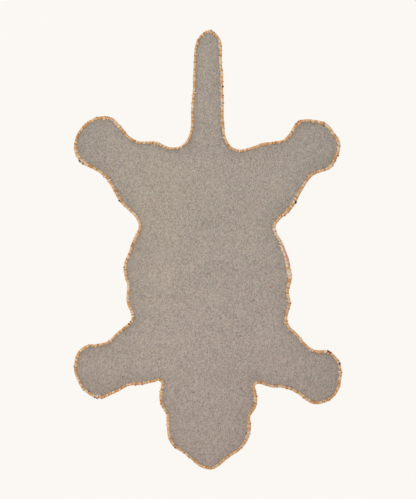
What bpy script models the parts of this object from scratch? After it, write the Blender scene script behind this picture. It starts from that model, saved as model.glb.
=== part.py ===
"""Animal-shaped rug for a child's room, lying pile down with its backing up.

The rug is tufted by hand in wool, in the outline of a spread pelt: a long tail, two hind paws,
two fore paws and a blunt head. A canvas is glued over its back, and a wool yarn is whipped round
the whole edge, where it covers the cut rims of the canvas and of the tufted cloth.

Metres, +Z up. The origin is on the floor under the middle of the outline, and +Y runs to the tail.
"""

import math

import bmesh
import bpy
from mathutils import Vector

MM = 0.001

# Driving dimensions, in metres
LENGTH = 1000.0 * MM            # chin to tail tip
THICKNESS = 12.0 * MM           # floor to the face of the canvas
CANVAS = 1.2 * MM               # thickness of the canvas
WHIPPING = 6.1 * MM             # width of the whipped edge, seen from above
WHIPPING_BEVEL = 1.7 * MM       # how far the corners of its round section are taken off
TUFT_REACH = 6.0 * MM           # height to which the tufts stand out under the whipped edge
TUFT_SET_IN = 0.6 * MM          # the tufts end this far inside the whipped edge
TUFT_ROUNDING = 1.6 * MM        # rounding of the rim of the pile at the floor
GAP = 0.3 * MM                  # clearance between pieces that touch
FACET = 8.0 * MM                # length of one facet along the outline
FEWEST_FACETS = 2               # between two places of the pattern, so that tight turns stay round

# The cutting pattern: one row for each stretch of the outline, anticlockwise from the chin, with
# the places (x, y) that the stretch passes. They are millimetres on a pattern 1 m long, with the
# tail at +Y. "Left" and "right" are -X and +X.
PATTERN = {
    "chin": ((0, -500), (14, -499), (35, -485), (52, -471), (71, -458)),
    "right cheek": ((91, -434), (98, -406), (96, -381)),
    "right ear": ((109, -360), (113, -340), (107.5, -311), (117, -306)),
    "right foreleg, head side": ((142, -313), (171, -315), (205, -330), (234, -349.5)),
    "right forepaw": ((251, -352.5), (278, -342), (290, -331), (301, -312), (306, -281), (301, -256),
                      (274, -230)),
    "right foreleg, flank side": ((253, -229), (237, -225.5), (210, -197), (190, -177.5)),
    "right flank": ((182, -153), (189, -123), (185, -98), (192, -60), (187, -31), (170, 17),
                    (158, 37), (155, 51)),
    "right hip": ((167, 70), (184, 84), (200, 105), (211, 128), (238, 167)),
    "right hind paw": ((254, 175), (280, 185), (297, 212), (301, 239), (285, 269), (263, 291),
                       (224, 297), (204, 291)),
    "right hind leg, tail side": ((185, 265), (172, 252), (150, 245), (120, 241), (75, 227)),
    "tail, right side": ((52, 236), (39, 262), (38, 288), (35.5, 345), (34, 400), (32, 455)),
    "tail tip": ((27, 480), (5, 500), (-21, 485)),
    "tail, left side": ((-31.5, 452), (-34, 375), (-38, 310), (-41, 268), (-54, 241)),
    "left hind leg, tail side": ((-67, 233.5), (-92, 233.5), (-116, 245), (-158, 247), (-179, 259)),
    "left hind paw": ((-195, 278), (-214, 297), (-232, 303), (-255, 301), (-283, 284), (-300, 256),
                      (-304, 227), (-292, 200)),
    "left hip": ((-277, 189), (-248, 175), (-228, 156), (-212, 131), (-202, 110), (-167, 76)),
    "left flank": ((-158, 52), (-173, 18), (-192, -41), (-184, -82), (-185, -115), (-175, -147),
                   (-176.5, -161)),
    "left foreleg, flank side": ((-195, -179), (-211, -192), (-223, -205), (-237, -212)),
    "left forepaw": ((-256, -215.5), (-275, -217), (-292, -228), (-302, -244), (-305.5, -268),
                     (-299, -294), (-286, -317), (-258, -337), (-240, -339)),
    "left foreleg, head side": ((-210, -325), (-190, -314), (-172, -308.5), (-147, -307.5),
                                (-113, -299)),
    "left ear": ((-107.5, -306), (-111, -336), (-105, -359), (-95, -375)),
    "left cheek": ((-93, -410), (-90, -431), (-76, -451), (-52, -466), (-22, -492)),
}

# Linear base colour and roughness of each finish
OCHRE_WOOL = ((0.52, 0.30, 0.13), 0.95)
GREY_CANVAS = ((0.38, 0.32, 0.27), 0.92)
WHIPPING_YARN = ((0.61, 0.39, 0.23), 0.90)


def clear_scene():
    for thing in list(bpy.data.objects):
        bpy.data.objects.remove(thing, do_unlink=True)


def between(before, start, end, after, share):
    """The place at a share of the way from start to end, on a smooth curve through all four."""
    knots = [0.0]
    for first, second in ((before, start), (start, end), (end, after)):
        knots.append(knots[-1] + math.sqrt((second - first).length))
    t0, t1, t2, t3 = knots
    t = t1 + share * (t2 - t1)
    leg_1 = before.lerp(start, t / t1)
    leg_2 = start.lerp(end, (t - t1) / (t2 - t1))
    leg_3 = end.lerp(after, (t - t2) / (t3 - t2))
    bend_1 = leg_1.lerp(leg_2, t / t2)
    bend_2 = leg_2.lerp(leg_3, (t - t1) / (t3 - t1))
    return bend_1.lerp(bend_2, (t - t1) / (t2 - t1))


def drawn_outline():
    """The rug's outline as a closed loop of facets, true to LENGTH and centred on the origin."""
    marks = [Vector(mark) for stretch in PATTERN.values() for mark in stretch]
    loop = []
    for number, start in enumerate(marks):
        before = marks[number - 1]
        end = marks[(number + 1) % len(marks)]
        after = marks[(number + 2) % len(marks)]
        facets = max(FEWEST_FACETS, round((end - start).length * MM / FACET))
        loop += [between(before, start, end, after, k / facets) for k in range(facets)]
    lowest = Vector((min(p.x for p in loop), min(p.y for p in loop)))
    highest = Vector((max(p.x for p in loop), max(p.y for p in loop)))
    middle = (lowest + highest) / 2
    scale = LENGTH / (highest.y - lowest.y)
    return [(point - middle) * scale for point in loop]


def inset(loop, distance):
    """The loop moved in towards the rug, each facet by the same distance."""
    moved = []
    for number, point in enumerate(loop):
        arriving = (point - loop[number - 1]).normalized()
        leaving = (loop[(number + 1) % len(loop)] - point).normalized()
        inward = (arriving + leaving).normalized().orthogonal()
        spread = (1.0 + arriving.dot(leaving)) / 2
        moved.append(point + inward * distance / math.sqrt(spread))
    return moved


def finish(name, colour, roughness):
    material = bpy.data.materials.new(name)
    material.use_nodes = True
    shader = material.node_tree.nodes["Principled BSDF"]
    shader.inputs["Base Color"].default_value = (*colour, 1.0)
    shader.inputs["Roughness"].default_value = roughness
    shader.inputs["Metallic"].default_value = 0.0
    return material


def layer(name, outline, section, look, ring=False):
    """A solid whose wall follows the outline, with section as its rows of (inset, height).

    A ring joins its last row back to the first. Any other layer is closed by flat faces below
    its first row and above its last one.
    """
    bm = bmesh.new()
    rows = []
    for distance, height in section:
        rows.append([bm.verts.new((p.x, p.y, height)) for p in inset(outline, distance)])
    pairs = list(zip(rows, rows[1:]))
    if ring:
        pairs.append((rows[-1], rows[0]))
    for lower, upper in pairs:
        for number in range(len(outline)):
            onward = (number + 1) % len(outline)
            bm.faces.new((lower[number], lower[onward], upper[onward], upper[number]))
    if not ring:
        bm.faces.new(list(reversed(rows[0])))
        bm.faces.new(rows[-1])
    bmesh.ops.recalc_face_normals(bm, faces=bm.faces[:])
    mesh = bpy.data.meshes.new(name)
    bm.to_mesh(mesh)
    bm.free()
    mesh.shade_smooth()
    mesh.set_sharp_from_angle(angle=math.radians(35))
    mesh.materials.append(finish(name, *look))
    solid = bpy.data.objects.new(name, mesh)
    bpy.context.scene.collection.objects.link(solid)
    return solid


def build_pile(outline):
    """The tufted wool: full width at the floor, and stepped in above to let the whipping in."""
    section = (
        (TUFT_SET_IN + TUFT_ROUNDING, 0.0),
        (TUFT_SET_IN, TUFT_ROUNDING),
        (TUFT_SET_IN, TUFT_REACH),
        (WHIPPING + GAP, TUFT_REACH),
        (WHIPPING + GAP, THICKNESS - CANVAS - GAP),
    )
    return layer("pile", outline, section, OCHRE_WOOL)


def build_backing(outline):
    """The canvas, one flat sheet over the back of the tufting."""
    section = (
        (WHIPPING + GAP, THICKNESS - CANVAS),
        (WHIPPING + GAP, THICKNESS),
    )
    return layer("backing", outline, section, GREY_CANVAS)


def build_edge_whipping(outline):
    """The yarn whipped round the edge, a ring of one round-cornered section."""
    lowest = TUFT_REACH + GAP
    section = (
        (0.0, lowest + WHIPPING_BEVEL),
        (0.0, THICKNESS - WHIPPING_BEVEL),
        (WHIPPING_BEVEL, THICKNESS),
        (WHIPPING - WHIPPING_BEVEL, THICKNESS),
        (WHIPPING, THICKNESS - WHIPPING_BEVEL),
        (WHIPPING, lowest + WHIPPING_BEVEL),
        (WHIPPING - WHIPPING_BEVEL, lowest),
        (WHIPPING_BEVEL, lowest),
    )
    return layer("edge_whipping", outline, section, WHIPPING_YARN, ring=True)


clear_scene()
rug_outline = drawn_outline()
build_pile(rug_outline)
build_backing(rug_outline)
build_edge_whipping(rug_outline)
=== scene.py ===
# Rug for a child's room in the outline of a spread pelt, 1 m from chin to tail tip. It lies pile
# down, so that its back shows: grey canvas, with ochre wool yarn whipped round the whole edge.
# It is put together from the inside out: tufted cloth, pile, rim tufts, canvas, whipping, odd
# tufts and lint, and then the studio. Metres, +Z up, the tail at +Y.
import math

import bmesh
import bpy
import numpy as np
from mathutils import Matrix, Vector
from mathutils.geometry import delaunay_2d_cdt
from mathutils.kdtree import KDTree


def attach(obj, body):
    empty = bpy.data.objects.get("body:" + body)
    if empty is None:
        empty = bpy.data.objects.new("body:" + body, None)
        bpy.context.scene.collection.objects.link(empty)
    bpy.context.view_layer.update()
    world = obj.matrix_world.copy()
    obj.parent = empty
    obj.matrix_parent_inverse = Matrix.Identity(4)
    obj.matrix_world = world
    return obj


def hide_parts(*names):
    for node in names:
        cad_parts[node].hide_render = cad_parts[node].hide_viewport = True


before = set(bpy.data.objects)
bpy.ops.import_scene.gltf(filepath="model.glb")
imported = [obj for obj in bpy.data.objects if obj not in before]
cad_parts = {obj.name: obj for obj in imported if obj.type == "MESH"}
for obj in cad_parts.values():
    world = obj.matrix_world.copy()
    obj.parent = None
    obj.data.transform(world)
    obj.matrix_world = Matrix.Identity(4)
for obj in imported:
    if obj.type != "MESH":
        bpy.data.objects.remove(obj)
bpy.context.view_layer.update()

# Tufted cloth: a plain cotton cloth, cut to the rug's outline, that all the wool is shot through.
# The pile hangs under it, the canvas is glued on top of it, and the whipping covers its edge.
MM = 0.001
CUT_LEVEL = 8.0 * MM  # height at which the whipping's solid is as wide as the rug
SAME_PLACE = 0.02 * MM  # points nearer to each other than this are one
EDGE_STEP = 1.0 * MM  # between the points of the smooth outline
CURVE_PARTS = 16  # new points for each facet of the solid, before they are spaced
SMOOTHED_OVER = 3  # points to either side that give the direction along the edge
CLOTH_TOP = 10.4 * MM
CLOTH_UNDER = 9.4 * MM
CLOTH_FALLS = ((0.9 * MM, 6 * MM),)  # how far the whipping draws its edge down, and how far in
CLOTH_ROWS = (2.4 * MM, 7.0 * MM)  # depths from the edge of the rows of points along it
CLOTH_STEP = 2.5 * MM  # between the points of a row
CLOTH_MESH = 9.0 * MM  # between the points further in
KEPT_CLEAR = 0.6  # share of that spacing by which they keep clear of the last row
COTTON = {  # the pitch is that of its threads, and the relief their height
    "pitch": 1.6 * MM, "dark": (0.42, 0.36, 0.27), "light": (0.62, 0.55, 0.44),
    "relief": 0.4 * MM,
}

# Where the edge was cut a little off its drawn outline: x, y and length of the place, and how far
# it stands out, in millimetres.
EDGE_WANDER = (
    (33, 425, 14, -1.7), (36, 397, 9, 1.3), (37, 302, 11, -1.2), (85, 231, 12, 1.0),
    (136, 245, 12, 1.3), (172, 252, 9, -1.3), (247, 295, 12, -1.2), (276, 282, 11, 1.6),
    (298, 251, 11, 1.6), (292, 202, 9, -1.3), (157, 61, 9, -1.4), (176, 1, 13, -1.8),
    (188, -38, 13, -1.6), (184, -167, 11, -1.6), (198, -184, 7, 1.0), (218, -208, 13, -1.5),
    (303, -265, 10, -1.8), (303, -294, 9, -1.2), (243, -351, 10, -0.8), (191, -322, 11, -1.4),
    (110, -307, 5, -1.0), (111, -321, 6, 1.6), (98, -389, 9, 1.0), (48, -474, 12, -1.1),
    (-33, -481, 9, -1.2), (-67, -456, 9, -1.1), (-95, -393, 10, 1.3), (-110, -302, 5, -1.6),
    (-121, -301, 6, 1.3), (-165, -309, 9, 1.0), (-199, -321, 10, 1.3), (-295, -298, 12, -0.6),
    (-304, -256, 9, -1.0), (-177, -162, 10, -1.3), (-183, -126, 13, 1.6), (-188, -70, 9, 0.8),
    (-180, -5, 11, -2.0), (-176, 83, 8, 1.3), (-216, 134, 12, 1.5), (-268, 185, 10, -1.3),
    (-304, 234, 16, 1.0), (-100, 239, 10, 1.0), (-39, 325, 14, 1.4), (-33, 428, 13, -1.4),
    (-20, 484, 14, -1.2),
)

# Where the back of the rug lies a little high or low: x, y, length, width and rise, in
# millimetres, and turn in degrees. The high places are also painted lighter, and the low ones
# darker: painted light and shade.
LIE_OF_THE_BACK = (
    (-100, 45, 30, 14, 1.2, -22), (-76, 172, 16, 24, 0.8), (-125, 115, 18, 16, 0.6),
    (-115, 20, 16, 14, 0.5), (-75, 95, 18, 16, 0.6), (-95, -65, 22, 18, 0.9),
    (-95, -25, 16, 14, 0.6), (-105, -130, 18, 16, 0.6), (-75, -155, 16, 16, 0.6),
    (-110, -205, 34, 14, 0.7), (-90, -275, 18, 16, 0.5), (75, 14, 14, 26, 0.6),
    (135, -192, 34, 12, 0.7, 60), (160, 155, 18, 16, 0.6), (60, 180, 18, 16, 0.5),
    (-9, 412, 10, 20, 0.5), (-5, 320, 10, 16, 0.4), (240, 262, 22, 9, 0.8, 40),
    (210, 190, 18, 14, 0.5), (-215, 252, 32, 12, 0.8, -34), (15, -110, 24, 14, 0.4),
    (2, 60, 38, 12, -1.0, 25), (-45, -85, 28, 10, -0.7, 35), (15, -50, 34, 10, -0.8, 20),
    (95, -50, 28, 12, -0.8, 12), (85, -168, 14, 18, -0.7), (-5, -180, 18, 14, -0.4),
    (125, -135, 16, 14, -0.4), (125, -245, 16, 14, -0.4), (113, -290, 12, 12, -1.0),
    (-20, -385, 12, 12, -0.6), (5, -424, 26, 10, -0.4), (-55, -360, 14, 14, -0.4),
    (12, 375, 16, 9, -0.7), (15, 425, 8, 12, -0.4), (15, 335, 8, 12, -0.4), (15, 250, 14, 12, -0.4),
    (70, 135, 12, 26, -0.7), (80, 72, 16, 22, -0.4), (-30, 130, 16, 26, -0.4),
    (168, 95, 12, 18, -1.1), (145, 40, 12, 18, -0.6), (176, -80, 10, 44, -0.4),
    (270, -290, 32, 44, -0.9), (-245, -318, 26, 10, -0.5), (-175, -300, 22, 9, -0.5),
    (-225, 290, 22, 9, -0.9), (-290, 225, 10, 20, -0.6), (-250, 195, 20, 10, -0.4),
    (225, 285, 26, 8, -0.9), (287, 230, 9, 22, -0.8), (260, 193, 20, 10, -0.5),
    (-38, 245, 12, 12, -0.7), (75, 216, 24, 9, -0.6), (-75, 220, 22, 9, -0.5),
    (-185, 108, 14, 14, -0.5), (-180, -185, 18, 12, -0.5), (70, -440, 14, 22, -0.5),
    (-80, -430, 12, 20, -0.5), (90, -345, 12, 26, -0.5), (-12, 431, 12, 2.6, 0.9, 8),
    (14, 435, 11, 2.6, 0.8, 8),
)


def steps_round(line):
    """The length of each step round a closed line."""
    return np.linalg.norm(np.roll(line, -1, axis=0) - line, axis=1)


def runs_round(line):
    """How far round a closed line each point lies, and its first point once more."""
    return np.r_[0.0, np.cumsum(steps_round(line))]


def cut_line(solid, level):
    """The rug's outline: the solid's edges at this height, anticlockwise from the lowest place."""
    welded = bmesh.new()
    welded.from_mesh(solid.data)
    bmesh.ops.remove_doubles(welded, verts=welded.verts[:], dist=SAME_PLACE)
    waiting = {v for v in welded.verts if abs(v.co.z - level) < SAME_PLACE}
    at = min(waiting, key=lambda v: v.co.y)
    line = []
    while at:
        waiting.discard(at)
        line.append(tuple(at.co.xy))
        onward = [e.other_vert(at) for e in at.link_edges if e.other_vert(at) in waiting]
        at = max(onward, key=lambda v: v.co.x, default=None)
    welded.free()
    return np.array(line)


def drawn_evenly(line):
    """The closed line drawn smoothly through its points, with new points at even steps."""
    length = steps_round(line)[:, None]
    slope = (np.roll(line, -1, axis=0) - line) / length
    length_before = np.roll(length, 1, axis=0)
    lean = np.roll(slope, 1, axis=0) * length + slope * length_before
    lean /= length + length_before
    share = (np.arange(CURVE_PARTS) / CURVE_PARTS)[None, :, None]
    start = line[:, None]
    end = np.roll(line, -1, axis=0)[:, None]
    leaving = (lean * length)[:, None]
    arriving = (np.roll(lean, -1, axis=0) * length)[:, None]
    curve = (2 * share**3 - 3 * share**2 + 1) * start + (share**3 - 2 * share**2 + share) * leaving
    curve = curve + (3 * share**2 - 2 * share**3) * end + (share**3 - share**2) * arriving
    curve = curve.reshape(-1, 2)
    closed = np.vstack([curve, curve[:1]])
    run = runs_round(curve)
    count = round(run[-1] / EDGE_STEP)
    at = np.arange(count) * run[-1] / count
    return np.c_[np.interp(at, run, closed[:, 0]), np.interp(at, run, closed[:, 1])]


def directions(line):
    """The directions along the closed line and in from it, at each of its points."""
    along = np.roll(line, -SMOOTHED_OVER, axis=0) - np.roll(line, SMOOTHED_OVER, axis=0)
    along /= np.linalg.norm(along, axis=1)[:, None]
    return along, np.c_[-along[:, 1], along[:, 0]]


def bumps(rows):
    """Heights at each point of the edge that rise smoothly to those of the rows."""
    total = np.zeros(len(edge))
    for x, y, length, height in rows:
        middle = np.argmin(np.linalg.norm(edge - np.array((x, y)) * MM, axis=1))
        away = np.abs(np.arange(len(edge)) - middle)
        away = np.minimum(away, len(edge) - away) * EDGE_STEP / (length * MM)
        total += height * np.exp(-away ** 2 / 2)
    return total


edge = drawn_evenly(cut_line(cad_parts["edge_whipping"], CUT_LEVEL))
edge = edge - directions(edge)[1] * bumps(EDGE_WANDER)[:, None] * MM
edge_length = float(steps_round(edge).sum())
edge_along, edge_inward = directions(edge)
edge_finder = KDTree(len(edge))
for number, (x, y) in enumerate(edge):
    edge_finder.insert((x, y, 0.0), number)
edge_finder.balance()


def read_round(values, run, eased=False):
    """Values kept at even steps round the edge, read at these lengths along it."""
    at = np.mod(run, edge_length) / edge_length * len(values)
    lower = np.floor(at).astype(int)
    share = at - lower
    if eased:
        share = share * share * (3 - 2 * share)
    if values.ndim > 1:
        share = share[..., None]
    lower %= len(values)
    return values[lower] * (1 - share) + values[(lower + 1) % len(values)] * share


def beside_edge(run, depth):
    """The places this far in from the edge, at these lengths along it."""
    run, depth = np.broadcast_arrays(run, depth)
    return read_round(edge, run) + read_round(edge_inward, run) * depth[..., None]


def from_edge(places):
    """How far in from the edge each place is, and how far along the edge it lies."""
    found = [edge_finder.find((x, y, 0.0)) for x, y in places]
    depth = np.array([f[2] for f in found])
    run = np.array([f[1] for f in found]) * edge_length / len(edge)
    return depth, run


def rows_over_rug(spacing, margin):
    """Places in staggered rows over the whole rug, no nearer to its edge than the margin."""
    low, high = edge.min(axis=0), edge.max(axis=0)
    across = np.arange(low[0], high[0], spacing)
    rows = [np.c_[across + (number % 2) * spacing / 2, np.full(len(across), y)]
            for number, y in enumerate(np.arange(low[1], high[1], spacing * math.sqrt(3) / 2))]
    places = np.vstack(rows)
    depth, run = from_edge(places)
    further_in = ((places - read_round(edge, run)) * read_round(edge_inward, run)).sum(axis=1) > 0
    return places[(depth > margin) & further_in]


def headed(turn=0):
    """The directions along a heading, in degrees, and to its left."""
    along = np.array((math.cos(math.radians(turn)), math.sin(math.radians(turn))))
    return along, np.array((-along[1], along[0]))


def lie(places):
    """How far the back of the rug lies above or below its usual height."""
    rise = np.zeros(len(places))
    for x, y, length, width, height, *turn in LIE_OF_THE_BACK:
        along, aside = headed(*turn)
        away = places / MM - (x, y)
        spread = (away @ along / length) ** 2 + (away @ aside / width) ** 2
        rise += height * MM * np.exp(-spread / 2)
    return rise


def new_object(name, data):
    """An object in the scene, with this mesh, light or camera."""
    made = bpy.data.objects.new(name, data)
    bpy.context.scene.collection.objects.link(made)
    return made


def new_piece(name, points, faces, material, node):
    """A mesh object that rides on the rug's body, stands for a solid and takes its finish."""
    mesh = bpy.data.meshes.new(name)
    mesh.from_pydata(points.tolist(), [], [list(map(int, face)) for face in faces])
    mesh.shade_smooth()
    mesh.materials.append(material)
    piece = new_object(name, mesh)
    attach(piece, "root")
    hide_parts(node)
    return piece


def triangles_over(rim, inner):
    """Triangles over the closed rim and the inner places, in their own order and facing up."""
    within_rim, finest = 1, 1e-7
    places = np.vstack([rim, inner])
    sides = [(k, (k + 1) % len(rim)) for k in range(len(rim))]
    made = delaunay_2d_cdt([Vector(p) for p in places], sides, [], within_rim, finest)
    first_of = np.array([olds[0] for olds in made[3]])
    faces = first_of[np.array(made[2])]
    a, b, c = places[faces[:, 0]], places[faces[:, 1]], places[faces[:, 2]]
    turned = (b[:, 0] - a[:, 0]) * (c[:, 1] - a[:, 1]) < (b[:, 1] - a[:, 1]) * (c[:, 0] - a[:, 0])
    faces[turned] = faces[turned][:, ::-1]
    return places, faces


def cloth_shape(depths, step, spacing, upper, lower):
    """Points and faces of a closed sheet that is cut to the rug's outline.

    The depths are its rows of points along the edge, outermost first. Upper and lower give the
    height of its two faces from the places, their depths and their lengths along the edge.
    """
    count = round(edge_length / step)
    run = np.arange(count) * edge_length / count
    rim = beside_edge(run, depths[0])
    rows = [beside_edge(run, depth) for depth in depths[1:]]
    inner = np.vstack(rows + [rows_over_rug(spacing, depths[-1] + KEPT_CLEAR * spacing)])
    top, top_faces = triangles_over(rim, inner)
    under_inner = rows_over_rug(CLOTH_MESH, depths[0] + KEPT_CLEAR * CLOTH_MESH)
    under, under_faces = triangles_over(rim, under_inner)
    points = np.vstack([np.c_[top, upper(top, *from_edge(top))],
                        np.c_[under, lower(under, *from_edge(under))]])
    start = len(top)
    wall = [(start + k, start + (k + 1) % count, (k + 1) % count, k) for k in range(count)]
    faces = list(top_faces) + list(under_faces[:, ::-1] + start) + wall
    return points, faces


def put(tree, kind, feeds=(), **settings):
    """Adds a shader node with these settings. Each feed is a socket and its value or source."""
    added = tree.nodes.new("ShaderNode" + kind)
    for name, value in settings.items():
        setattr(added, name, value)
    for socket, value in feeds:
        if isinstance(value, bpy.types.NodeSocket):
            tree.links.new(value, added.inputs[socket])
        else:
            added.inputs[socket].default_value = value
    return added


def reckon(tree, operation, *values):
    """Adds a Math node and gives its result."""
    return put(tree, "Math", enumerate(values), operation=operation).outputs[0]


def combine(tree, operation, *values):
    """Adds a Vector Math node and gives its result."""
    return put(tree, "VectorMath", enumerate(values), operation=operation).outputs[0]


def scaled(tree, vector, share):
    """Adds a node that scales a vector or a colour and gives the result."""
    feeds = ((0, vector), ("Scale", share))
    return put(tree, "VectorMath", feeds, operation="SCALE").outputs[0]


def blended(tree, share, first, second, how="MIX"):
    """Adds a node that mixes two colours and gives the result."""
    feeds = ((0, share), (6, first), (7, second))
    return put(tree, "Mix", feeds, data_type="RGBA", blend_type=how).outputs[2]


def noise(tree, place, scale=1.0, detail=2.0, roughness=0.5):
    """Adds a Noise Texture node."""
    feeds = (("Vector", place), ("Scale", scale), ("Detail", detail), ("Roughness", roughness))
    return put(tree, "TexNoise", feeds)


def crowned(tree, count):
    """How high a round thread or ply stands: 1 in its middle and 0 at the next one."""
    offset = reckon(tree, "SUBTRACT", reckon(tree, "FRACT", count), 0.5)
    return reckon(tree, "COSINE", reckon(tree, "MULTIPLY", offset, math.pi))


def new_group(name, inputs, outputs):
    """An empty node group and its two end nodes. Its sockets are numbers but for Place and Tint."""
    group = bpy.data.node_groups.new(name, "ShaderNodeTree")
    kinds = {"Place": "NodeSocketVector", "Tint": "NodeSocketColor"}
    for way, titles in (("INPUT", inputs), ("OUTPUT", outputs)):
        for title in titles:
            kind = kinds.get(title, "NodeSocketFloat")
            group.interface.new_socket(title, in_out=way, socket_type=kind)
    return group, group.nodes.new("NodeGroupInput"), group.nodes.new("NodeGroupOutput")


THREAD_DRIFT = 0.4 * MM  # how far a thread wanders from side to side
THREAD_WAVES = 70.0  # how often it does, in a metre
THREAD_STEPS = (7.31, 0.2, 3.7)  # through the noise: to the next thread, along, warp to weft
HOLE_FROM, HOLE_AT = 0.75, 0.25  # heights between which a gap between the threads opens
TONE_SHARES = (0.9, 0.25, 1.12, 0.15)  # of whole threads, single crossings, lots and clouds
TONE_LEVEL = 0.792  # taken off their sum, so that the tone is centred
LOT_SIZE = 1.75 * MM  # across a patch of fibres of one lot
LOT_SHAPE = (1.0, 0.8, 1.0)  # the patches are a little drawn out
LOT_CONTRAST = 0.7
CLOUD_SIZE = LOT_SIZE / 0.167
WOVEN_ROUGH = (0.08, 0.88)  # how much rougher the gaps are, and how rough the threads


def plain_weave():
    """Over-and-under cloth of mixed fibres.

    Height is its relief, Tone runs from dark to light threads, Gap marks the holes, and Tint is
    the faint change of hue from one lot of fibres to the next.
    """
    feeds, results = ("Place", "Pitch"), ("Height", "Tone", "Gap", "Tint")
    group, given, result = new_group("Plain weave", feeds, results)
    place, pitch = given.outputs[0], given.outputs[1]
    drift = noise(group, place, THREAD_WAVES).outputs["Color"]
    shift = scaled(group, combine(group, "SUBTRACT", drift, (0.5,) * 3), THREAD_DRIFT)
    parted = put(group, "SeparateXYZ", ((0, combine(group, "ADD", place, shift)),))
    across = [reckon(group, "DIVIDE", parted.outputs[axis], pitch) for axis in (0, 1)]
    thread = [reckon(group, "FLOOR", count) for count in across]
    crown = [crowned(group, count) for count in across]
    crossing = reckon(group, "FLOORED_MODULO", reckon(group, "ADD", *thread), 2.0)
    over = reckon(group, "MULTIPLY_ADD", crossing, 2.0, -1.0)
    under = reckon(group, "MULTIPLY", over, -1.0)
    warp = reckon(group, "ADD", crown[0], reckon(group, "MULTIPLY", over, crown[1]))
    weft = reckon(group, "ADD", crown[1], reckon(group, "MULTIPLY", under, crown[0]))
    highest = reckon(group, "MAXIMUM", warp, weft)
    group.links.new(reckon(group, "MULTIPLY", highest, 0.5), result.inputs["Height"])
    hole = put(group, "MapRange", (("Value", highest), (1, HOLE_FROM), (2, HOLE_AT)))
    group.links.new(hole.outputs[0], result.inputs["Gap"])
    tones = []
    for axis in (0, 1):
        counts = put(group, "CombineXYZ", enumerate((thread[axis], across[1 - axis], axis)))
        lengthwise = combine(group, "MULTIPLY", counts.outputs[0], THREAD_STEPS)
        tones.append(noise(group, lengthwise, detail=1.0).outputs[0])
    on_top = reckon(group, "GREATER_THAN", warp, weft)
    thread_tone = put(group, "Mix", ((0, on_top), (2, tones[1]), (3, tones[0])))
    cell = put(group, "CombineXYZ", enumerate(thread))
    fleck = put(group, "TexWhiteNoise", (("Vector", cell.outputs[0]),), noise_dimensions="2D")
    drawn_out = combine(group, "MULTIPLY", place, LOT_SHAPE)
    feeds = (("Vector", drawn_out), ("Scale", 1.0 / LOT_SIZE), ("Smoothness", 0.5))
    blot = put(group, "TexVoronoi", feeds, feature="SMOOTH_F1")
    lot = reckon(group, "POWER", blot.outputs["Color"], LOT_CONTRAST)
    cloud = noise(group, place, 1.0 / CLOUD_SIZE, roughness=0.7)
    parts = (thread_tone.outputs[0], fleck.outputs[0], lot, cloud.outputs[0])
    tone = 0.0
    for part, share in zip(parts, TONE_SHARES):
        tone = reckon(group, "MULTIPLY_ADD", part, share, tone)
    group.links.new(reckon(group, "SUBTRACT", tone, TONE_LEVEL), result.inputs["Tone"])
    group.links.new(cloud.outputs["Color"], result.inputs["Tint"])
    return group


def new_material(name):
    """An empty material, its node tree and its shader."""
    material = bpy.data.materials.new(name)
    material.use_nodes = True
    return material, material.node_tree, material.node_tree.nodes["Principled BSDF"]


def connect(tree, shader, colour, rough, height, relief):
    """Gives the shader its colour, its roughness, and a relief from a height."""
    raised = put(tree, "Bump", (("Height", height), ("Distance", relief)))
    for source, socket in ((colour, "Base Color"), (rough, "Roughness"),
                           (raised.outputs[0], "Normal")):
        tree.links.new(source, shader.inputs[socket])


def woven_material(name, pitch, dark, light, relief, sheen=0.0, coloured=None):
    """Cloth in the colours of its threads, which the function coloured may change further."""
    material, tree, shader = new_material(name)
    place = put(tree, "TexCoord").outputs["Object"]
    woven = put(tree, "Group", (("Place", place), ("Pitch", pitch)), node_tree=weave)
    colour = blended(tree, woven.outputs["Tone"], (*dark, 1.0), (*light, 1.0))
    if coloured:
        colour = coloured(tree, woven, colour)
    rough = reckon(tree, "MULTIPLY_ADD", woven.outputs["Gap"], *WOVEN_ROUGH)
    connect(tree, shader, colour, rough, woven.outputs["Height"], relief)
    shader.inputs["Sheen Weight"].default_value = sheen
    return material


def cloth_face(level, falls):
    """The height of a face of a cloth whose edge is drawn down, as cloth_shape asks for it."""
    def height(places, depth, run):
        return level - sum(fall * np.exp(-depth / reach) for fall, reach in falls) + lie(places)
    return height


weave = plain_weave()
points, faces = cloth_shape(CLOTH_ROWS, CLOTH_STEP, CLOTH_MESH,
                            cloth_face(CLOTH_TOP, CLOTH_FALLS), cloth_face(CLOTH_UNDER, CLOTH_FALLS))
cotton = woven_material("Cotton cloth", **COTTON)
tufted_cloth = new_piece("tufted_cloth", points, faces, cotton, "pile")


# Pile: wool tufts shot through the cloth from above and cut about 9 mm long, close side by side.
# The rug lies on them, so that they show only at the rim. They are one ochre wool.
TUFT_PITCH = 3.9 * MM
TUFT_STRAY = 0.5 * MM  # how far a tuft stands from its even place
TUFT_SIDES = 5
TUFT_ROOT, TUFT_TIP = 9.7 * MM, 0.4 * MM
TUFT_HALF_WIDTHS = (1.2 * MM, 2.15 * MM)
TUFT_SIZES = (0.9, 1.1)
TUFT_CUT = (-0.3, 0.9)  # how much shorter the ends are cut, in millimetres
TUFT_REST = 0.05 * MM  # no wool reaches below this, because the rug lies on the floor
TUFT_SPLAY = 2.6 * MM  # how far the tufts at the rim lean outward
TUFT_SPLAY_REACH = 5 * MM
TUFT_SWAY = 0.4 * MM  # how far any tuft leans
TUFT_SHADE, TUFT_SHADE_SPREAD = 0.45, 0.16
PILE_MARGIN = 3.2 * MM  # between the outermost tufts and the edge
PILE_COLOURS = (  # shade and colour, from deep to pale
    (0.0, (0.50, 0.26, 0.10)), (0.5, (0.66, 0.42, 0.21)), (1.0, (0.80, 0.60, 0.38)),
)
PILE_YARN = {"plies": 3.0, "twist": 9 * MM, "rounding": 0.3 * MM}
WOOL_LOT_SEED = 31
WOOL_LOTS = (-0.012, 0.026, 0.06)  # how far the lots differ in red, in green and in blue
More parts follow.
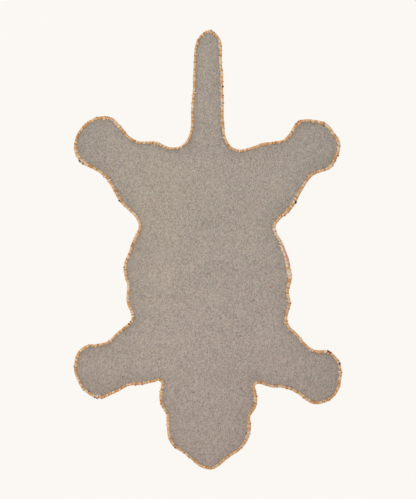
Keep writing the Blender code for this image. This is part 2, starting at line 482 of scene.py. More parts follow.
HAIR_SCALE = 450.0  # how fine the hairs are
HAIR_WINDING = 5.0  # how strongly they follow the twist
HAIR_RELIEF = 0.3  # their height, as a share of that of a ply
HAIR_SHADE = (0.5, -0.25)  # how far they change the shade, and what is taken off for it
PLY_GROOVE_SHADE = (0.25, 0.79)  # painted shade: how much lighter a ply is painted, and how light the groove beside it
WOOL_ROUGH = (0.2, 0.78)
WOOL_SHEEN, WOOL_SHEEN_ROUGH = 0.25, 0.5
dice = np.random.default_rng(7)


def strands(paths, half_width, half_depth, across, sides):
    """Points and faces of one closed round strand along each path.

    paths holds the middle of each strand as (strand, station, xyz). The half sizes are for each
    station, and across is the direction of the width. It also gives each point's turn round the
    strand and its run along it, from 0 to 1 and in metres.
    """
    count, stations, _ = paths.shape
    onward = np.gradient(paths, axis=1)
    onward /= np.linalg.norm(onward, axis=2)[..., None]
    wide = across - (across * onward).sum(axis=2)[..., None] * onward
    wide /= np.linalg.norm(wide, axis=2)[..., None]
    deep = np.cross(onward, wide)
    angle = 2 * math.pi * np.arange(sides) / sides
    half_width = np.broadcast_to(half_width, (count, stations))[..., None, None]
    half_depth = np.broadcast_to(half_depth, (count, stations))[..., None, None]
    points = paths[:, :, None] + np.cos(angle)[:, None] * half_width * wide[:, :, None]
    points = points + np.sin(angle)[:, None] * half_depth * deep[:, :, None]
    steps = np.linalg.norm(np.diff(paths, axis=1), axis=2)
    run = np.concatenate([np.zeros((count, 1)), np.cumsum(steps, axis=1)], axis=1)
    run = np.repeat(run[..., None], sides, axis=2)
    turn = np.broadcast_to(np.arange(sides) / sides, run.shape)
    own = np.arange(count)[:, None, None] * stations * sides
    ring = own + np.arange(stations - 1)[None, :, None] * sides
    side = np.arange(sides)
    following = (side + 1) % sides
    corners = (side, following, following + sides, side + sides)
    quads = np.stack([ring + corner for corner in corners], axis=-1).reshape(-1, 4)
    first_end = (own[:, 0] + side[::-1]).tolist()
    last_end = (own[:, 0] + (stations - 1) * sides + side).tolist()
    faces = quads.tolist() + first_end + last_end
    points = points.reshape(-1, 3)
    points[:, 2] = np.maximum(points[:, 2], TUFT_REST)
    return points, faces, turn.ravel(), run.ravel()


def keep(piece, name, values):
    """Stores a number or a colour for each point of the piece, for its material to read."""
    kind, kept_as = "FLOAT", "value"
    if values.ndim > 1:
        kind, kept_as = "FLOAT_COLOR", "color"
        values = np.c_[values, np.ones(len(values))]
    kept = piece.data.attributes.new(name, kind, "POINT")
    kept.data.foreach_set(kept_as, values.astype(np.float32).ravel())


def kept_value(tree, name, socket="Fac"):
    """What the piece keeps for its points under this name, as a number or a colour."""
    return put(tree, "Attribute", attribute_name=name).outputs[socket]


def strand_piece(name, shape, material, node, slot, **for_strands):
    """A piece of many strands. It keeps the turn and run of its points, and these values."""
    points, faces, turn, run = shape
    piece = new_piece(name, points, faces, material, node)
    keep(piece, "turn", turn)
    keep(piece, "run", run)
    for title, values in for_strands.items():
        keep(piece, title, np.repeat(values, len(points) // len(values), axis=0))


def spun_piece(name, shape, shade, material, node, slot):
    """A piece of many strands, each of one shade from 0, deepest, to 1, palest.

    Its wool was dyed in several lots, so that each strand is also a little greener or bluer.
    """
    lots = np.random.default_rng(WOOL_LOT_SEED).normal(0.0, 1.0, (len(shade), 2))
    lot = 1 + lots[:, (0, 0, 1)] * WOOL_LOTS
    strand_piece(name, shape, material, node, slot, shade=shade, lot=lot)


def spun_yarn():
    """Plies twisted together. Ply is their round crown, and Fibre the streaks of single hairs."""
    feeds, results = ("Turn", "Run", "Plies", "Twist"), ("Ply", "Fibre")
    group, given, result = new_group("Spun yarn", feeds, results)
    turn, run, plies, twist = (given.outputs[k] for k in range(4))
    turned = reckon(group, "ADD", turn, reckon(group, "DIVIDE", run, twist))
    spiral = reckon(group, "MULTIPLY", turned, plies)
    group.links.new(crowned(group, spiral), result.inputs["Ply"])
    place = put(group, "TexCoord").outputs["Object"]
    winding = reckon(group, "MULTIPLY", spiral, HAIR_WINDING)
    wound = put(group, "CombineXYZ", ((0, winding),)).outputs[0]
    hairs = noise(group, combine(group, "ADD", scaled(group, place, HAIR_SCALE), wound))
    group.links.new(hairs.outputs[0], result.inputs["Fibre"])
    return group


def twisted(tree, plies, twist):
    """The ply and fibre of a wool with this many plies and this length of a whole turn."""
    feeds = (("Turn", kept_value(tree, "turn")), ("Run", kept_value(tree, "run")),
             ("Plies", plies), ("Twist", twist))
    return put(tree, "Group", feeds, node_tree=yarn_group).outputs


def wool_material(name, stops, plies, twist, rounding):
    """Wool in the colours of the stops, from its deepest shade to its palest."""
    material, tree, shader = new_material(name)
    ply, fibre = twisted(tree, plies, twist)
    hairs = reckon(tree, "MULTIPLY_ADD", fibre, *HAIR_SHADE)
    shade = reckon(tree, "ADD", kept_value(tree, "shade"), hairs)
    ramp = put(tree, "ValToRGB", ((0, shade),))
    while len(ramp.color_ramp.elements) < len(stops):
        ramp.color_ramp.elements.new(0.5)
    for element, (at, stop) in zip(ramp.color_ramp.elements, stops):
        element.position = at
        element.color = (*stop, 1.0)
    dyed = combine(tree, "MULTIPLY", ramp.outputs[0], kept_value(tree, "lot", "Color"))
    # painted shade, darker in the grooves between the plies
    colour = scaled(tree, dyed, reckon(tree, "MULTIPLY_ADD", ply, *PLY_GROOVE_SHADE))
    rough = reckon(tree, "MULTIPLY_ADD", fibre, *WOOL_ROUGH)
    height = reckon(tree, "MULTIPLY_ADD", fibre, HAIR_RELIEF, ply)
    connect(tree, shader, colour, rough, height, rounding)
    shader.inputs["Sheen Weight"].default_value = WOOL_SHEEN
    shader.inputs["Sheen Roughness"].default_value = WOOL_SHEEN_ROUGH
    return material


yarn_group = spun_yarn()
pile_wool = wool_material("Pile wool", PILE_COLOURS, **PILE_YARN)
roots = rows_over_rug(TUFT_PITCH, PILE_MARGIN)
roots = roots + dice.uniform(-TUFT_STRAY, TUFT_STRAY, roots.shape)
depth, run = from_edge(roots)
splay = TUFT_SPLAY * np.exp((PILE_MARGIN - depth) / TUFT_SPLAY_REACH)
lean = -read_round(edge_inward, run) * splay[:, None]
lean = lean + dice.normal(0.0, TUFT_SWAY, lean.shape)
tips = np.c_[roots + lean, TUFT_TIP + dice.uniform(*TUFT_CUT, len(roots)) * MM]
paths = np.stack([np.c_[roots, TUFT_ROOT + lie(roots)], tips], axis=1)
size = dice.uniform(*TUFT_SIZES, (len(roots), 1)) * np.array(TUFT_HALF_WIDTHS)
yaw = dice.uniform(0, 2 * math.pi, len(roots))
across = np.c_[np.cos(yaw), np.sin(yaw), np.zeros(len(roots))][:, None]
shade = np.clip(dice.normal(TUFT_SHADE, TUFT_SHADE_SPREAD, len(roots)), 0, 1)
for name, half in (("pile_left", roots[:, 0] < 0), ("pile_right", roots[:, 0] >= 0)):
    shape = strands(paths[half], size[half], size[half], across[half], TUFT_SIDES)
    spun_piece(name, shape, shade[half], pile_wool, "pile", "wool_pile")


# Rim tufts: the outermost rows of the pile, which splay out from under the whipping. They are
# the same wool, in finer strands, because the cut ends open up where nothing holds them.
RIM_PITCH = 3.4 * MM
RIM_STRANDS = 5  # in each tuft
RIM_SIDES = 4
RIM_LEVELS = np.array((8.6, 5.6, 2.8, 0.4)) * MM
RIM_DEPTHS = np.array((3.2, 1.6, 1.1, 1.4)) * MM
RIM_HALF_WIDTHS = np.array((0.6, 0.9, 1.0, 0.75)) * MM
RIM_STRAY = 0.4  # share of its pitch by which a strand stands off its even place
RIM_LEAN = 0.45 * MM  # how far the ends lean in or out
RIM_DRIFT = 1.2 * MM  # and along the edge
RIM_UNEVEN = (-0.1, 0.4)  # how much higher the strands lie, in millimetres
RIM_SHADE, RIM_SHADE_SPREAD = 0.5, 0.2


def with_height(places, height):
    """The places as points, at this height or these heights."""
    height = np.broadcast_to(height, places.shape[:-1])
    return np.concatenate([places, height[..., None]], axis=-1)


def shares_of(path):
    """How far along the path each of its stations is, from 0 to 1."""
    return np.arange(len(path)) / (len(path) - 1)


count = round(edge_length / RIM_PITCH) * RIM_STRANDS
run = np.arange(count) + dice.uniform(-RIM_STRAY, RIM_STRAY, count)
run = run[:, None] * edge_length / count
out = dice.normal(0.0, RIM_LEAN, (count, 1)) * shares_of(RIM_DEPTHS)
drift = dice.normal(0.0, RIM_DRIFT, (count, 1)) * shares_of(RIM_DEPTHS)
rise = dice.uniform(*RIM_UNEVEN, (len(RIM_LEVELS), count)).T * MM
paths = with_height(beside_edge(run + drift, RIM_DEPTHS + out), RIM_LEVELS + rise)
across = with_height(read_round(edge_along, run), 0.0)
shade = np.clip(dice.normal(RIM_SHADE, RIM_SHADE_SPREAD, count), 0, 1)
shape = strands(paths, RIM_HALF_WIDTHS, RIM_HALF_WIDTHS, across, RIM_SIDES)
spun_piece("rim_tufts", shape, shade, pile_wool, "pile", "wool_pile")


# Canvas: a grey-brown heathered cotton canvas, cut to the same outline and glued over the back
# of the tufting. Its edge is turned in under the whipping, which draws it down all round.
# Its colour carries painted light and shade: lighter on its rises, darker in its hollows, towards
# its edge, beside the whipping and in the gaps between its threads.
CANVAS_TOP = 12.0 * MM
CANVAS_UNDER = 10.8 * MM
CANVAS_ROWS = np.array((2.6, 4.2, 5.6, 6.8, 8.0, 9.3, 10.8, 12.6)) * MM
CANVAS_STEP = 2.0 * MM
CANVAS_MESH = 3.2 * MM
CANVAS_FALLS = ((1.0 * MM, 4.5 * MM), (0.5 * MM, 22 * MM))
HEM_FROM = 6.4 * MM  # the turned-in edge doubles the canvas from this depth
HEM_WIDTH = 9.5 * MM  # to this one
HEM_ONTO, HEM_OFF = 1.5 * MM, 1.8 * MM
HEM_RISE = 0.35 * MM
HEM_WAVES, HEM_SEED = 60, 3
PUCKERS, PUCKER_SEED = 430, 4  # small puckers round the edge, drawn in by the yarn
PUCKER_RISE = 0.22 * MM
PUCKER_REACH = 8 * MM
CANVAS = {
    "pitch": 1.1 * MM, "dark": (0.254, 0.212, 0.180), "light": (0.562, 0.480, 0.413),
    "relief": 0.3 * MM, "sheen": 0.1,
}
CANVAS_TINT = 0.15  # how much of the fibres' own hues shows
CANVAS_GAP_SHADE = 0.35  # painted shade: how much darker the gaps between the threads are painted
RISE_PAINTED_LIGHT = 0.055  # painted light and shade: how much paler the canvas is painted for each millimetre that it is high
EDGE_PAINTED_SHADE = ((0.15, 25 * MM), (0.24, 5.5 * MM))  # painted shade: how much darker its edge is, where it is drawn down under the whipping, and how far in
GROOVE_PAINTED_SHADE = 0.12  # and painted shade in the groove beside the whipping
GROOVE_DEPTH, GROOVE_WIDTH = 6.8 * MM, 1.1 * MM
CANVAS_PATCHES = (  # places painted paler or darker, and yellower: x, y and radius in millimetres, how much paler, how much yellower
    (-262, 240, 42, -0.10, 0), (-255, -270, 50, -0.03, 0.015), (-100, -230, 50, 0.03, 0),
    (-240, -320, 26, -0.04, 0), (280, 200, 30, -0.03, 0), (240, 240, 45, -0.03, -0.014),
    (280, -280, 50, -0.03, -0.024), (20, 40, 24, -0.015, 0), (80, -180, 26, -0.02, 0),
    (120, -240, 24, -0.01, 0), (40, -280, 24, -0.035, 0), (-120, 120, 24, -0.01, 0),
    (-160, 0, 22, -0.015, 0), (20, -380, 50, -0.015, 0), (-160, 80, 22, 0.045, 0),
    (120, 20, 34, 0.03, 0), (130, -160, 34, 0.035, 0), (-100, -70, 34, 0.035, 0),
    (-20, -160, 34, 0.025, 0), (-110, 200, 34, 0.015, 0), (0, 330, 50, 0.02, 0),
    (-125, 120, 80, 0, 0.034), (-130, -60, 75, 0, 0.020), (110, 50, 36, 0, 0.022),
    (20, 0, 80, 0, -0.010), (120, -280, 110, 0, -0.024), (0, 250, 50, 0, -0.012),
)
REDDENED = 0.040  # how much redder the canvas is at the chin than at the tail
REDDENED_FROM = 60 * MM  # it starts here and grows towards the chin
REDDENED_OVER = 520 * MM
REDDENED_MEAN = 0.31  # taken off, so that the canvas as a whole keeps its colour


def wave_round(run, count, seed):
    """A smooth uneven wave round the edge, from -1 to 1, with about this many crests."""
    return read_round(np.random.default_rng(seed).uniform(-1, 1, count), run, eased=True)


def canvas_top(places, depth, run):
    """The height of the canvas's face."""
    near_hem = np.clip((depth - HEM_FROM) / HEM_ONTO, 0, 1)
    near_hem *= np.clip((HEM_WIDTH + HEM_OFF - depth) / HEM_OFF, 0, 1)
    hem = HEM_RISE * near_hem * (0.6 + 0.4 * wave_round(run, HEM_WAVES, HEM_SEED))
    pucker = PUCKER_RISE * wave_round(run, PUCKERS, PUCKER_SEED) * np.exp(-depth / PUCKER_REACH)
    return cloth_face(CANVAS_TOP, CANVAS_FALLS)(places, depth, run) + hem + pucker


def canvas_hue_and_shade(places):
    """What the patches, the redder chin and painted light and shade leave of the canvas's red, green
    and blue.
    """
    depth, _ = from_edge(places)
    # painted light and shade: paler on the rises, darker in the hollows
    paler = 1.0 + RISE_PAINTED_LIGHT * lie(places) / MM
    yellower = np.zeros(len(places))
    for x, y, radius, pale, yellow in CANVAS_PATCHES:
        away = np.linalg.norm(places / MM - (x, y), axis=1)
        spread = np.exp(-(away / radius) ** 2 / 2)
        paler += pale * spread
        yellower += yellow * spread
    # painted shade towards the edge and in the groove beside the whipping
    paler *= 1.0 - sum(dirt * np.exp(-depth / reach) for dirt, reach in EDGE_PAINTED_SHADE)
    paler *= 1.0 - GROOVE_PAINTED_SHADE * np.exp(-((depth - GROOVE_DEPTH) / GROOVE_WIDTH) ** 2 / 2)
    redder = np.clip((REDDENED_FROM - places[:, 1]) / REDDENED_OVER, 0, 1) ** 1.2
    redder = REDDENED * (redder - REDDENED_MEAN)
    return np.c_[paler * (1 + redder), paler * (1 - 0.3 * redder), paler * (1 - yellower)]


def canvas_colour(tree, woven, colour):
    """The threads' colour with the fibres' own hues, painted shade in their gaps, and the kept hue
    and shade.
    """
    colour = blended(tree, CANVAS_TINT, colour, woven.outputs["Tint"], "SOFT_LIGHT")
    # painted shade in the gaps between the threads
    holes = reckon(tree, "MULTIPLY_ADD", woven.outputs["Gap"], -CANVAS_GAP_SHADE, 1.0)
    return scaled(tree, combine(tree, "MULTIPLY", colour, kept_value(tree, "hue_and_shade", "Color")), holes)


points, faces = cloth_shape(CANVAS_ROWS, CANVAS_STEP, CANVAS_MESH,
                            canvas_top, cloth_face(CANVAS_UNDER, CANVAS_FALLS))
heathered = woven_material("Heathered canvas", coloured=canvas_colour, **CANVAS)
canvas = new_piece("canvas", points, faces, heathered, "backing")
# the canvas's hue, with painted light and shade
keep(canvas, "hue_and_shade", canvas_hue_and_shade(points[:, :2]))


# Whipping: thick ochre wool yarn, whipped by hand over the edge in slanting wraps, side by side.
# It covers the cut rims of the canvas and of the tufted cloth, and its shade changes as it goes.
WRAP_PITCH = 3.0 * MM
WRAP_SPACED_AT = 3.3 * MM  # the wraps lie side by side at this depth, the middle of the band
WRAP_STRAY = 0.12  # share of its pitch by which a wrap is off its even place
WRAP_SIDES = 8
WRAP_HALF_WIDTH = 1.62 * MM
WRAP_HALF_DEPTH = 1.05 * MM
WRAP_SLANT = 2.2 * MM  # how far a wrap runs along the edge on its way over it
WRAP_SLANT_SPREAD = 0.5 * MM
WRAP_LIFT = 0.12 * MM  # how unevenly high the wraps lie
REACH_SPREAD = 0.6  # how unevenly far in they reach, in millimetres: one by one,
REACH_WAVE, REACH_WAVES, REACH_SEED = 0.75, 110, 6  # in waves round the edge,
REACH_ASIDE, REACH_LESS = 1.3, 1.05  # and where the edge looks left or right, less the mean
LONG_WRAPS = 0.13  # share of the wraps that reach further in than the rest
LONG_REACH = 2.2  # and by how many millimetres
WRAP_SIZE_SPREAD = 0.05
WRAP_TAPER = np.array((0.75, 0.95, *[1.0] * 9, 0.85))
DEEP_WRAPS = 0.35  # share of the wraps in the deeper of the two shades of the yarn
DEEP_SHADE, PALE_SHADE, WRAP_SHADE_SPREAD = 0.22, 0.64, 0.14
STRETCHES = (  # where the whipping is unlike the rest: x, y and length of the
    # stretch, how much paler its yarn is, and how much further in it reaches, in millimetres
    (34, 438, 42, 0.19, -1.2), (37, 345, 24, 0.08, 0.4), (39, 280, 22, 0.20, -1.2),
    (118, 241, 24, 0.02, -0.3), (213, 295, 20, 0.07, 1.2), (270, 288, 26, 0.25, 0.8),
    (302, 239, 25, 0.04, 0), (232, 158, 18, 0, 0.6), (281, 186, 22, 0.02, 0.3),
    (201, 108, 22, 0.08, 2.2), (162, 65, 20, 0.02, 0.4), (172, 14, 24, 0.38, 0.1),
    (190, -42, 26, 0.36, 3.8), (185, -99, 24, -0.06, 0.2), (182, -156, 22, -0.02, 0.7),
    (214, -203, 20, 0.12, 0.1), (298, -321, 24, 0, -1.1), (251, -352, 18, 0.07, 0.4),
    (200, -327, 20, -0.07, 0), (144, -314, 22, 0.09, 0.2), (112, -328, 20, 0.16, 1.0),
    (88, -438, 26, 0.06, 0.7), (-6, -499, 22, -0.12, 0.9), (-53, -465, 22, 0.11, -2.2),
    (-92, -425, 20, -0.04, 0), (-130, -306, 32, -0.03, 0.5), (-208, -325, 20, 0.06, 0),
    (-262, -335, 22, 0.13, 0.8), (-299, -293, 22, 0.15, -0.7), (-251, -214, 20, -0.10, -1.1),
    (-203, -184, 16, 0, -1.2), (-179, -139, 18, 0.15, 0.5), (-185, -82, 24, 0.12, -0.2),
    (-168, 29, 18, -0.13, 0), (-173, 81, 20, 0.14, -0.8), (-210, 125, 18, 0.04, -0.7),
    (-294, 201, 20, 0.14, 2.4), (-301, 256, 24, -0.06, -1.4), (-262, 298, 20, 0, 1.1),
    (-208, 293, 22, 0.12, 0.2), (-56, 240, 22, 0.16, -2.0), (-39, 290, 18, 0.05, -0.7),
    (-38, 345, 30, -0.05, -0.6), (-33, 412, 28, 0.03, -1.4), (-27, 470, 22, 0, -1.4),
    (4, 500, 18, -0.05, 0.7), (264, -227, 16, 0.19, 0.5), (36, 397, 14, -0.05, 0.3),
)
WRAP_PATH = (  # depth from the edge and height, in millimetres
    (6.6, 10.4), (5.9, 11.3), (5.0, 11.9), (3.9, 12.1), (2.8, 12.0), (1.8, 11.4), (1.15, 10.3),
    (1.05, 9.0), (1.4, 7.7), (2.3, 6.8), (3.6, 6.6), (5.2, 7.2),
)
YARN_COLOURS = (  # burnt, orange, ochre and cream
    (0.0, (0.51, 0.20, 0.052)), (0.3, (0.675, 0.335, 0.108)), (0.62, (0.75, 0.468, 0.245)),
    (1.0, (0.87, 0.705, 0.53)),
)
WHIPPING_YARN = {"plies": 2.0, "twist": 7 * MM, "rounding": 0.35 * MM}

wrap_dice = np.random.default_rng(23)
middle_run = runs_round(edge + edge_inward * WRAP_SPACED_AT)
count = round(middle_run[-1] / WRAP_PITCH)
run = np.arange(count) + wrap_dice.uniform(-WRAP_STRAY, WRAP_STRAY, count)
run = np.interp(run * middle_run[-1] / count, middle_run,
                np.linspace(0.0, edge_length, len(middle_run)))
reach = wrap_dice.normal(0.0, REACH_SPREAD, count)
reach += REACH_WAVE * wave_round(run, REACH_WAVES, REACH_SEED)
reach += REACH_ASIDE * read_round(edge_inward, run)[:, 0] ** 2 - REACH_LESS
reach += np.where(wrap_dice.random(count) < LONG_WRAPS, LONG_REACH, 0.0)
paler, further = (read_round(bumps([(*row[:3], row[value]) for row in STRETCHES]), run)
                  for value in (3, 4))
reach += further
lift = wrap_dice.normal(0.0, WRAP_LIFT, (count, 1))
slant = wrap_dice.normal(WRAP_SLANT, WRAP_SLANT_SPREAD, (count, 1))
share = shares_of(WRAP_PATH)
depth, level = np.array(WRAP_PATH).T
depth = (depth + reach[:, None] * (1.0 - share) ** 1.5) * MM
paths = with_height(beside_edge(run[:, None] + slant * (0.5 - share), depth), level * MM + lift)
across = with_height(read_round(edge_along, run[:, None]), 0.0)
size = wrap_dice.normal(1.0, WRAP_SIZE_SPREAD, (count, 1)) * WRAP_TAPER
shade = np.where(wrap_dice.random(count) < DEEP_WRAPS, DEEP_SHADE, PALE_SHADE)
shade = shade + wrap_dice.normal(0.0, WRAP_SHADE_SPREAD, count)
shade = np.clip(shade + paler, 0, 1)
whipping_yarn = wool_material("Whipping yarn", YARN_COLOURS, **WHIPPING_YARN)
middle = beside_edge(run, 0.0)
for name, half in (("whipping_left", middle[:, 0] < 0), ("whipping_right", middle[:, 0] >= 0)):
    shape = strands(paths[half], size[half] * WRAP_HALF_WIDTH, size[half] * WRAP_HALF_DEPTH,
                    across[half], WRAP_SIDES)
    spun_piece(name, shape, shade[half], whipping_yarn, "edge_whipping", "whipping_yarn")


# Odd tufts: single tufts of other wool, worked into the pile beside the edge. They curl out from
# under the whipping and up its side, as specks in the ochre rim. A row of pink ones stands at a
# flank, and a row of peach ones at a hind paw.
ODD_DYES = {
    "black": (0.035, 0.027, 0.024), "brown": (0.20, 0.088, 0.036), "tan": (0.40, 0.22, 0.10),
    "grey": (0.17, 0.15, 0.13), "ash": (0.40, 0.36, 0.32), "maroon": (0.21, 0.036, 0.050),
    "crimson": (0.36, 0.045, 0.060), "red": (0.50, 0.12, 0.055), "rust": (0.42, 0.17, 0.055),
    "coral": (0.72, 0.33, 0.19), "pink": (0.74, 0.37, 0.31), "peach": (0.76, 0.45, 0.30),
}
ODD_TUFTS = (  # the place of each tip, in millimetres, and its dye
    (199, 107, "black"), (200, 109, "black"), (273, -231, "maroon"), (272, -230, "maroon"),
    (277, -233, "crimson"), (279, -234, "crimson"), (300, -260, "black"), (299, -258, "black"),
    (296, -253, "tan"), (-292, 202, "maroon"), (-290, 200, "maroon"), (-285, 196, "rust"),
    (-284, 195, "rust"), (35, 370, "black"), (35, 371, "black"), (-201, 112, "black"),
    (-200, 113, "grey"), (276, -340, "brown"), (273, -341, "coral"), (-181, -168, "brown"),
    (-180, -169, "brown"), (-74, -450, "red"), (-258, -337, "grey"), (304, -279, "brown"),
    (295, 214, "brown"), (180, -313, "rust"), (76, -450, "rust"), (-174, -165, "brown"),
    (36, 333, "brown"), (210, 294, "red"), (-42, -471, "red"), (111, -333, "red"),
    (187, -122, "ash"), (8, 499, "tan"), (-254, 301, "ash"), (290, 202, "tan"), (198, 106, "black"),
    (-75, -449, "red"), (-305, -266, "ash"), (-191, -40, "tan"), (262, 286, "coral"),
    (-31, -481, "coral"), (31, 462, "ash"), (-108, -351, "red"), (-242, -338, "ash"),
    (33, 408, "coral"), (35, 382, "coral"), (35, 350, "red"), (35, 345, "coral"),
    (-228, 301, "rust"), (174, 78, "red"), (-165, -306, "red"), (-249, -218, "rust"),
    (153, 41, "coral"), (219, -333, "rust"), (-283, -318, "ash"), (-252, -337, "black"),
    (207, 291, "rust"), (204, 288, "coral"), (201, 285, "rust"), (50, -472, "ash"),
)
ODD_ROWS = (  # rows of tufts: the places of both ends, and the dye
    (170, 12, 184, -36, "pink"), (-236, 301, -214, 297, "peach"),
)
ROW_PITCH = 2.7 * MM
ROW_STRAY = 0.9 * MM  # how far a tuft of a row stands from its even place
ODD_STRANDS = 6
ODD_SIDES = 5
ODD_PATH = ((2.6, 7.0), (0.2, 7.0), (-0.6, 8.6), (-0.3, 10.9), (1.2, 12.7), (3.3, 13.3))
ODD_CURL_FROM = 4  # the stations from this one on lie over the whipping
ODD_REACH, ROW_REACH, STRAND_REACH = (0.7, 1.2), (0.5, 1.4), (0.6, 1.25)  # how far they curl
ODD_FAN = (0.6, 0.5)  # how wide the strands spread at the root, and how much more on top
ODD_STRAY = 0.35 * MM
ODD_YARN = {"plies": 2.0, "twist": 5 * MM}
ODD_ROUNDING = 0.1 * MM
ODD_LIGHT = (0.8, 0.6)  # how much lighter the hairs are, and how light the rest
ODD_ROUGH = (0.2, 0.75)
ODD_HALF_WIDTHS = np.array((0.45, 0.5, 0.55, 0.55, 0.5, 0.25)) * MM


def dyed_material(name):
    """Wool that takes its colour from each strand's own dye."""
    material, tree, shader = new_material(name)
    ply, fibre = twisted(tree, **ODD_YARN)
    lit = reckon(tree, "MULTIPLY_ADD", fibre, *ODD_LIGHT)
    rough = reckon(tree, "MULTIPLY_ADD", fibre, *ODD_ROUGH)
    colour = scaled(tree, kept_value(tree, "dye", "Color"), lit)
    connect(tree, shader, colour, rough, ply, ODD_ROUNDING)
    return material


_, run = from_edge(np.array([tip[:2] for tip in ODD_TUFTS]) * MM)
dyes = [ODD_DYES[tip[2]] for tip in ODD_TUFTS]
reach = dice.uniform(*ODD_REACH, len(ODD_TUFTS))
for x0, y0, x1, y1, dye in ODD_ROWS:
    _, ends = from_edge(np.array(((x0, y0), (x1, y1))) * MM)
    row = np.arange(min(ends), max(ends), ROW_PITCH)
    row += dice.uniform(-ROW_STRAY, ROW_STRAY, len(row))
    run = np.r_[run, row]
    dyes += [ODD_DYES[dye]] * len(row)
    reach = np.r_[reach, dice.uniform(*ROW_REACH, len(row))]
fan = np.tile(np.linspace(-1.0, 1.0, ODD_STRANDS), len(run))[:, None] * MM
run, reach = np.repeat((run, reach), ODD_STRANDS, axis=1)[..., None]
dyes = np.repeat(dyes, ODD_STRANDS, axis=0)
reach = reach * dice.uniform(*STRAND_REACH, reach.shape)
stray = dice.normal(0.0, ODD_STRAY, (len(ODD_PATH), len(run))).T
fan = fan * (ODD_FAN[0] + ODD_FAN[1] * shares_of(ODD_PATH))
depth, level = np.array(ODD_PATH).T
depth = depth * np.where(np.arange(len(ODD_PATH)) < ODD_CURL_FROM, 1.0, reach)
paths = with_height(beside_edge(run + fan + stray, depth * MM), level * MM + stray * 0.5)
across = with_height(read_round(edge_along, run), 0.0)
shape = strands(paths, ODD_HALF_WIDTHS, ODD_HALF_WIDTHS, across, ODD_SIDES)
dyed_wool = dyed_material("Dyed wool")
strand_piece("odd_tufts", shape, dyed_wool, "pile", "wool_pile", dye=dyes)


# Lint: short ends of wool in the same dyes, cut off and left when the rug was made. They cling
# to the canvas and to the whipping, where they lie flat. Most brown ones at the end of their
# list, and the tan one, lie instead along the inside of the whipping as painted shade: dark
# strands where the stitches meet the canvas.
LINT_AND_PAINTED_SHADE = {  # the dye, then x, y and length in millimetres and the turn in degrees
    "red": ((144, -85, 8, 16), (183, -59, 3, -80), (203, 287, 4, 30), (154, 43, 3.8, 60)),
    "pink": ((165, -211, 5, 4), (-153, 23, 3, 60), (183, -50, 6, -78)),
    "black": (
        (103, -115, 4.4, 50), (-110, -47, 4.6, 120), (-33, -324, 4.8, 150), (-194, -288, 3.8, 10),
        (-271, -323, 5.2, 45), (262, 282, 5.4, -40), (35, 259, 4.6, 95), (184, -134, 4.2, 80),
        (297, -297, 4.2, 70), (-270, -322, 4.4, -40), (262, 281, 4.6, 45),
    ),
    "brown": (
        (-78, -106, 3.6, 30), (28, -395, 2.6, 140), (20, -399, 2.6, 60), (17, 352, 3.2, 20),
        (-13, 59, 3.2, 90), (210, 277, 2.6, 40), (-53, 41, 3, 5), (-1, -233, 3, 100),
        (24, -476, 2.4, 30), (-142, 168, 2.8, 70), (-187, -190, 2.8, 15), (-167, -154, 4.4, 80),
        # from (-167, -154) on, most lie along the inside of the whipping as painted shade
        (-153, 241, 3, 0), (168, 245, 4.6, 20), (235, 291, 4.6, 10), (280, 200, 3, 40),
        (-22, -485, 4, -35), (269, -238, 2.6, 0), (187, -186, 4.8, -50), (87, -417, 5, 80),
        (-176, -172, 2.6, 60), (87, 223, 2.8, 20), (15, 493, 3.4, 30), (203, 284, 3, 20),
    ),
    # it lies along the inside of the whipping, as painted shade
    "tan": ((-283, 275, 3, 50),),
    "coral": ((178, -26, 4, -72), (174, -16, 4, -72)),
    "rust": ((185, 261, 3.6, 40), (-228, 299, 3.2, 10)),
}
LINT_HALF_WIDTH = 0.48 * MM
LINT_TAPER = (0.5, 1.0, 1.0, 1.0, 0.5)
LINT_SIDES = 6
LINT_BEND = 0.12  # how far it bends aside, as a share of its length
LINT_BESIDE = ((0.0, 13.2), (6.4, 12.9), (8.0, 12.3), (9.5, 11.6), (10.5, 0.0))  # depth, height

paths, across, dyes = [], [], []
for x, y, length, turn, dye in [(*place, dye) for dye in LINT_AND_PAINTED_SHADE for place in LINT_AND_PAINTED_SHADE[dye]]:
    along, aside = headed(turn)
    share = np.linspace(-0.5, 0.5, len(LINT_TAPER))
    bend = LINT_BEND * length * np.cos(math.pi * share)
    flat = (np.array((x, y)) + share[:, None] * length * along + bend[:, None] * aside) * MM
    depth, run = from_edge(flat)
    over_whipping = np.interp(depth / MM, *np.array(LINT_BESIDE).T) * MM
    lies_on = np.maximum(canvas_top(flat, depth, run), over_whipping)
    paths.append(np.c_[flat, lies_on + LINT_HALF_WIDTH])
    across.append([(*aside, 0.0)])
    dyes.append(ODD_DYES[dye])
size = LINT_HALF_WIDTH * np.array(LINT_TAPER)
shape = strands(np.array(paths), size, size, np.array(across), LINT_SIDES)
strand_piece("lint_and_painted_shade", shape, dyed_wool, "backing", "wool_pile", dye=np.array(dyes))


# Studio: the rug lies on a plain cream floor that runs on into an equally cream room, under a
# large soft light from the upper left and even light from all round, with the camera above it.
CREAM = (0.9647, 0.9387, 0.8963, 1.0)
LIGHT_COLOUR = (1.0, 0.985, 0.96)
FLOOR_SIZE = 14.0
FLOOR_MATT = 0.012  # how much of the floor shows shadows, the rest being plain light
ROOM_LIGHT = 0.667
SOFT_SIZE = 1.8
SOFT_POWER = 64.8
SOFT_PLACE = Vector((-1.80, 1.405, 2.9))
SOFT_AIM = Vector((-0.69, -1.44, 0.0))
VIEW_HEIGHT = 1.1333  # length of floor that the picture takes in, at the canvas
VIEW_MIDDLE = (-0.06 * MM, 0.38 * MM)
LENS = 85.0
SENSOR = 36.0


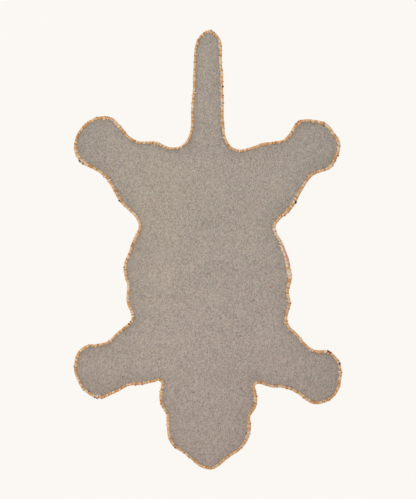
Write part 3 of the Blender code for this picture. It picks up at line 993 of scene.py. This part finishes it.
def floor_material():
    """Plain cream light, with a trace of the shadows that fall on it."""
    material, tree, _ = new_material("Cream floor")
    tree.nodes.clear()
    glow = put(tree, "Emission", (("Color", CREAM), ("Strength", 1.0)))
    matt = put(tree, "BsdfDiffuse", (("Color", CREAM),))
    both = put(tree, "MixShader", enumerate((FLOOR_MATT, glow.outputs[0], matt.outputs[0])))
    put(tree, "OutputMaterial", ((0, both.outputs[0]),))
    return material


def cream_room():
    """A room that looks as cream as the floor, and that lights the rug evenly."""
    room = bpy.data.worlds.new("Cream room")
    room.use_nodes = True
    tree = room.node_tree
    tree.nodes.clear()
    seen = put(tree, "Background", (("Color", CREAM), ("Strength", 1.0)))
    unseen = put(tree, "Background", (("Color", (*LIGHT_COLOUR, 1.0)), ("Strength", ROOM_LIGHT)))
    path = put(tree, "LightPath")
    picked = put(tree, "MixShader", enumerate(
        (path.outputs["Is Camera Ray"], unseen.outputs[0], seen.outputs[0])))
    put(tree, "OutputWorld", ((0, picked.outputs[0]),))
    return room


floor_mesh = bpy.data.meshes.new("floor")
corners = [Vector((x, y, 0.0)) * FLOOR_SIZE / 2 for x, y in ((-1, -1), (1, -1), (1, 1), (-1, 1))]
floor_mesh.from_pydata(corners, [], [(0, 1, 2, 3)])
floor_mesh.materials.append(floor_material())
floor = new_object("floor", floor_mesh)
scene = bpy.context.scene
scene.world = cream_room()

soft = bpy.data.lights.new("soft_light", "AREA")
soft.shape = "RECTANGLE"
soft.size = SOFT_SIZE
soft.size_y = SOFT_SIZE
soft.energy = SOFT_POWER
soft.color = LIGHT_COLOUR
soft_light = new_object("soft_light", soft)
soft_light.location = SOFT_PLACE
soft_light.rotation_euler = (SOFT_AIM - SOFT_PLACE).to_track_quat("-Z", "Y").to_euler()
soft_light.visible_camera = False

lens = bpy.data.cameras.new("camera")
lens.lens = LENS
lens.sensor_width = SENSOR
camera = new_object("camera", lens)
camera.location = (*VIEW_MIDDLE, CANVAS_TOP + VIEW_HEIGHT * LENS / SENSOR)
scene.camera = camera
scene.view_settings.view_transform = "Standard"
scene.view_settings.look = "None"
